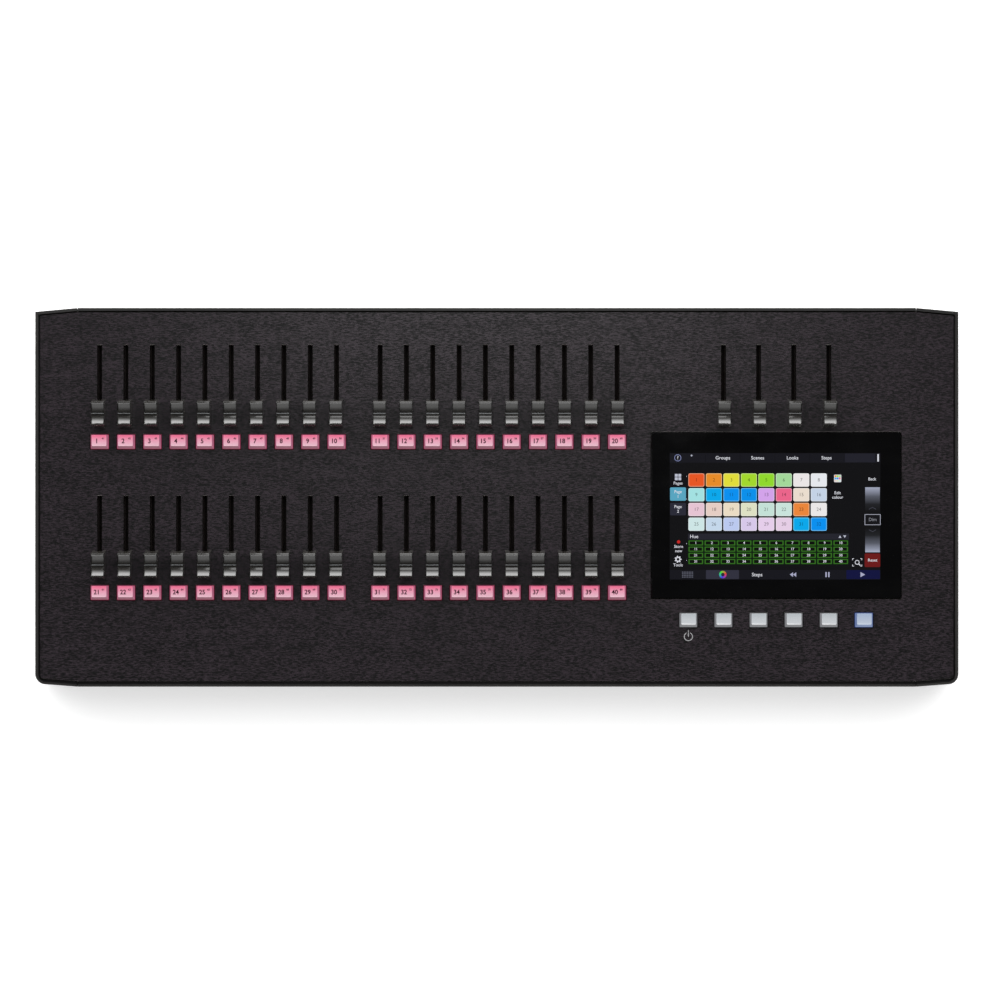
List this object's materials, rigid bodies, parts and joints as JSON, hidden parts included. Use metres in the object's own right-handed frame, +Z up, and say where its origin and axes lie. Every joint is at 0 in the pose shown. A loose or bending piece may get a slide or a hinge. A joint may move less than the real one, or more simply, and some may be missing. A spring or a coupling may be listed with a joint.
{
  "type": "lighting control desk",
  "caption": "Low sloping stage lighting desk with sliding faders, lit push keys, a touch screen and rear sockets.",
  "frame": {"origin": "on the surface the desk stands on, under the middle of the case", "axes": "+X to the operator's right, +Y to the rear, +Z up"},
  "size_m": [0.668, 0.2697, 0.0777],
  "materials": {
    "deck_black": "black anodised, brushed along the desk",
    "case_paint": "fine-textured black powder coat",
    "screen_glass": "gloss black cover glass",
    "display_metal": "bare steel frame",
    "housing_metal": "tinned steel",
    "board_green": "green solder mask",
    "connector_black": "black-plated zinc",
    "port_metal": "bright plated shells",
    "inlet_plastic": "moulded black",
    "foot_rubber": "soft black rubber",
    "fastener_steel": "black zinc-plated steel",
    "cap_gloss": "gloss black moulded cap",
    "key_pink": "translucent, lit pink from below",
    "key_white": "translucent, lit white from below"
  },
  "bodies": {
    "desk": {"chassis": "case_paint", "top_panel": "deck_black", "left_end_cap": "case_paint", "right_end_cap": "case_paint", "touch_glass": "screen_glass", "display_module": "display_metal", "fader_housings": "housing_metal", "control_boards": "board_green", "main_board": "board_green", "dmx_outlets": "connector_black", "data_ports": "port_metal", "power_inlet": "inlet_plastic", "rubber_feet": "foot_rubber", "fasteners": "fastener_steel"},
    "channel_keys": {"channel_keys": "key_pink"},
    "screen_keys": {"screen_keys": "key_white"},
    "master_fader_1": {"master_fader_1": "cap_gloss"},
    "master_fader_2": {"master_fader_2": "cap_gloss"},
    "master_fader_3": {"master_fader_3": "cap_gloss"},
    "master_fader_4": {"master_fader_4": "cap_gloss"},
    "fader_01": {"fader_01": "cap_gloss"},
    "fader_02": {"fader_02": "cap_gloss"},
    "fader_03": {"fader_03": "cap_gloss"},
    "fader_04": {"fader_04": "cap_gloss"},
    "fader_05": {"fader_05": "cap_gloss"},
    "fader_06": {"fader_06": "cap_gloss"},
    "fader_07": {"fader_07": "cap_gloss"},
    "fader_08": {"fader_08": "cap_gloss"},
    "fader_09": {"fader_09": "cap_gloss"},
    "fader_10": {"fader_10": "cap_gloss"},
    "fader_11": {"fader_11": "cap_gloss"},
    "fader_12": {"fader_12": "cap_gloss"},
    "fader_13": {"fader_13": "cap_gloss"},
    "fader_14": {"fader_14": "cap_gloss"},
    "fader_15": {"fader_15": "cap_gloss"},
    "fader_16": {"fader_16": "cap_gloss"},
    "fader_17": {"fader_17": "cap_gloss"},
    "fader_18": {"fader_18": "cap_gloss"},
    "fader_19": {"fader_19": "cap_gloss"},
    "fader_20": {"fader_20": "cap_gloss"},
    "fader_21": {"fader_21": "cap_gloss"},
    "fader_22": {"fader_22": "cap_gloss"},
    "fader_23": {"fader_23": "cap_gloss"},
    "fader_24": {"fader_24": "cap_gloss"},
    "fader_25": {"fader_25": "cap_gloss"},
    "fader_26": {"fader_26": "cap_gloss"},
    "fader_27": {"fader_27": "cap_gloss"},
    "fader_28": {"fader_28": "cap_gloss"},
    "fader_29": {"fader_29": "cap_gloss"},
    "fader_30": {"fader_30": "cap_gloss"},
    "fader_31": {"fader_31": "cap_gloss"},
    "fader_32": {"fader_32": "cap_gloss"},
    "fader_33": {"fader_33": "cap_gloss"},
    "fader_34": {"fader_34": "cap_gloss"},
    "fader_35": {"fader_35": "cap_gloss"},
    "fader_36": {"fader_36": "cap_gloss"},
    "fader_37": {"fader_37": "cap_gloss"},
    "fader_38": {"fader_38": "cap_gloss"},
    "fader_39": {"fader_39": "cap_gloss"},
    "fader_40": {"fader_40": "cap_gloss"}
  },
  "joints": [
    {"name": "channel_keys_press", "type": "slide", "parent": "desk", "child": "channel_keys", "axis": [0, 0.1736, -0.9848], "range_m": [0, 0.0012], "stiffness_N_per_m": 2000, "springref_m": -0.0008},
    {"name": "screen_keys_press", "type": "slide", "parent": "desk", "child": "screen_keys", "axis": [0, 0.1736, -0.9848], "range_m": [0, 0.0012], "stiffness_N_per_m": 400, "springref_m": -0.0008},
    {"name": "master_fader_1_slide", "type": "slide", "parent": "desk", "child": "master_fader_1", "axis": [0, 0.9848, 0.1736], "range_m": [0, 0.045]},
    {"name": "master_fader_2_slide", "type": "slide", "parent": "desk", "child": "master_fader_2", "axis": [0, 0.9848, 0.1736], "range_m": [0, 0.045]},
    {"name": "master_fader_3_slide", "type": "slide", "parent": "desk", "child": "master_fader_3", "axis": [0, 0.9848, 0.1736], "range_m": [0, 0.045]},
    {"name": "master_fader_4_slide", "type": "slide", "parent": "desk", "child": "master_fader_4", "axis": [0, 0.9848, 0.1736], "range_m": [0, 0.045]},
    {"name": "fader_01_slide", "type": "slide", "parent": "desk", "child": "fader_01", "axis": [0, 0.9848, 0.1736], "range_m": [0, 0.045]},
    {"name": "fader_02_slide", "type": "slide", "parent": "desk", "child": "fader_02", "axis": [0, 0.9848, 0.1736], "range_m": [0, 0.045]},
    {"name": "fader_03_slide", "type": "slide", "parent": "desk", "child": "fader_03", "axis": [0, 0.9848, 0.1736], "range_m": [0, 0.045]},
    {"name": "fader_04_slide", "type": "slide", "parent": "desk", "child": "fader_04", "axis": [0, 0.9848, 0.1736], "range_m": [0, 0.045]},
    {"name": "fader_05_slide", "type": "slide", "parent": "desk", "child": "fader_05", "axis": [0, 0.9848, 0.1736], "range_m": [0, 0.045]},
    {"name": "fader_06_slide", "type": "slide", "parent": "desk", "child": "fader_06", "axis": [0, 0.9848, 0.1736], "range_m": [0, 0.045]},
    {"name": "fader_07_slide", "type": "slide", "parent": "desk", "child": "fader_07", "axis": [0, 0.9848, 0.1736], "range_m": [0, 0.045]},
    {"name": "fader_08_slide", "type": "slide", "parent": "desk", "child": "fader_08", "axis": [0, 0.9848, 0.1736], "range_m": [0, 0.045]},
    {"name": "fader_09_slide", "type": "slide", "parent": "desk", "child": "fader_09", "axis": [0, 0.9848, 0.1736], "range_m": [0, 0.045]},
    {"name": "fader_10_slide", "type": "slide", "parent": "desk", "child": "fader_10", "axis": [0, 0.9848, 0.1736], "range_m": [0, 0.045]},
    {"name": "fader_11_slide", "type": "slide", "parent": "desk", "child": "fader_11", "axis": [0, 0.9848, 0.1736], "range_m": [0, 0.045]},
    {"name": "fader_12_slide", "type": "slide", "parent": "desk", "child": "fader_12", "axis": [0, 0.9848, 0.1736], "range_m": [0, 0.045]},
    {"name": "fader_13_slide", "type": "slide", "parent": "desk", "child": "fader_13", "axis": [0, 0.9848, 0.1736], "range_m": [0, 0.045]},
    {"name": "fader_14_slide", "type": "slide", "parent": "desk", "child": "fader_14", "axis": [0, 0.9848, 0.1736], "range_m": [0, 0.045]},
    {"name": "fader_15_slide", "type": "slide", "parent": "desk", "child": "fader_15", "axis": [0, 0.9848, 0.1736], "range_m": [0, 0.045]},
    {"name": "fader_16_slide", "type": "slide", "parent": "desk", "child": "fader_16", "axis": [0, 0.9848, 0.1736], "range_m": [0, 0.045]},
    {"name": "fader_17_slide", "type": "slide", "parent": "desk", "child": "fader_17", "axis": [0, 0.9848, 0.1736], "range_m": [0, 0.045]},
    {"name": "fader_18_slide", "type": "slide", "parent": "desk", "child": "fader_18", "axis": [0, 0.9848, 0.1736], "range_m": [0, 0.045]},
    {"name": "fader_19_slide", "type": "slide", "parent": "desk", "child": "fader_19", "axis": [0, 0.9848, 0.1736], "range_m": [0, 0.045]},
    {"name": "fader_20_slide", "type": "slide", "parent": "desk", "child": "fader_20", "axis": [0, 0.9848, 0.1736], "range_m": [0, 0.045]},
    {"name": "fader_21_slide", "type": "slide", "parent": "desk", "child": "fader_21", "axis": [0, 0.9848, 0.1736], "range_m": [0, 0.045]},
    {"name": "fader_22_slide", "type": "slide", "parent": "desk", "child": "fader_22", "axis": [0, 0.9848, 0.1736], "range_m": [0, 0.045]},
    {"name": "fader_23_slide", "type": "slide", "parent": "desk", "child": "fader_23", "axis": [0, 0.9848, 0.1736], "range_m": [0, 0.045]},
    {"name": "fader_24_slide", "type": "slide", "parent": "desk", "child": "fader_24", "axis": [0, 0.9848, 0.1736], "range_m": [0, 0.045]},
    {"name": "fader_25_slide", "type": "slide", "parent": "desk", "child": "fader_25", "axis": [0, 0.9848, 0.1736], "range_m": [0, 0.045]},
    {"name": "fader_26_slide", "type": "slide", "parent": "desk", "child": "fader_26", "axis": [0, 0.9848, 0.1736], "range_m": [0, 0.045]},
    {"name": "fader_27_slide", "type": "slide", "parent": "desk", "child": "fader_27", "axis": [0, 0.9848, 0.1736], "range_m": [0, 0.045]},
    {"name": "fader_28_slide", "type": "slide", "parent": "desk", "child": "fader_28", "axis": [0, 0.9848, 0.1736], "range_m": [0, 0.045]},
    {"name": "fader_29_slide", "type": "slide", "parent": "desk", "child": "fader_29", "axis": [0, 0.9848, 0.1736], "range_m": [0, 0.045]},
    {"name": "fader_30_slide", "type": "slide", "parent": "desk", "child": "fader_30", "axis": [0, 0.9848, 0.1736], "range_m": [0, 0.045]},
    {"name": "fader_31_slide", "type": "slide", "parent": "desk", "child": "fader_31", "axis": [0, 0.9848, 0.1736], "range_m": [0, 0.045]},
    {"name": "fader_32_slide", "type": "slide", "parent": "desk", "child": "fader_32", "axis": [0, 0.9848, 0.1736], "range_m": [0, 0.045]},
    {"name": "fader_33_slide", "type": "slide", "parent": "desk", "child": "fader_33", "axis": [0, 0.9848, 0.1736], "range_m": [0, 0.045]},
    {"name": "fader_34_slide", "type": "slide", "parent": "desk", "child": "fader_34", "axis": [0, 0.9848, 0.1736], "range_m": [0, 0.045]},
    {"name": "fader_35_slide", "type": "slide", "parent": "desk", "child": "fader_35", "axis": [0, 0.9848, 0.1736], "range_m": [0, 0.045]},
    {"name": "fader_36_slide", "type": "slide", "parent": "desk", "child": "fader_36", "axis": [0, 0.9848, 0.1736], "range_m": [0, 0.045]},
    {"name": "fader_37_slide", "type": "slide", "parent": "desk", "child": "fader_37", "axis": [0, 0.9848, 0.1736], "range_m": [0, 0.045]},
    {"name": "fader_38_slide", "type": "slide", "parent": "desk", "child": "fader_38", "axis": [0, 0.9848, 0.1736], "range_m": [0, 0.045]},
    {"name": "fader_39_slide", "type": "slide", "parent": "desk", "child": "fader_39", "axis": [0, 0.9848, 0.1736], "range_m": [0, 0.045]},
    {"name": "fader_40_slide", "type": "slide", "parent": "desk", "child": "fader_40", "axis": [0, 0.9848, 0.1736], "range_m": [0, 0.045]}
  ]
}
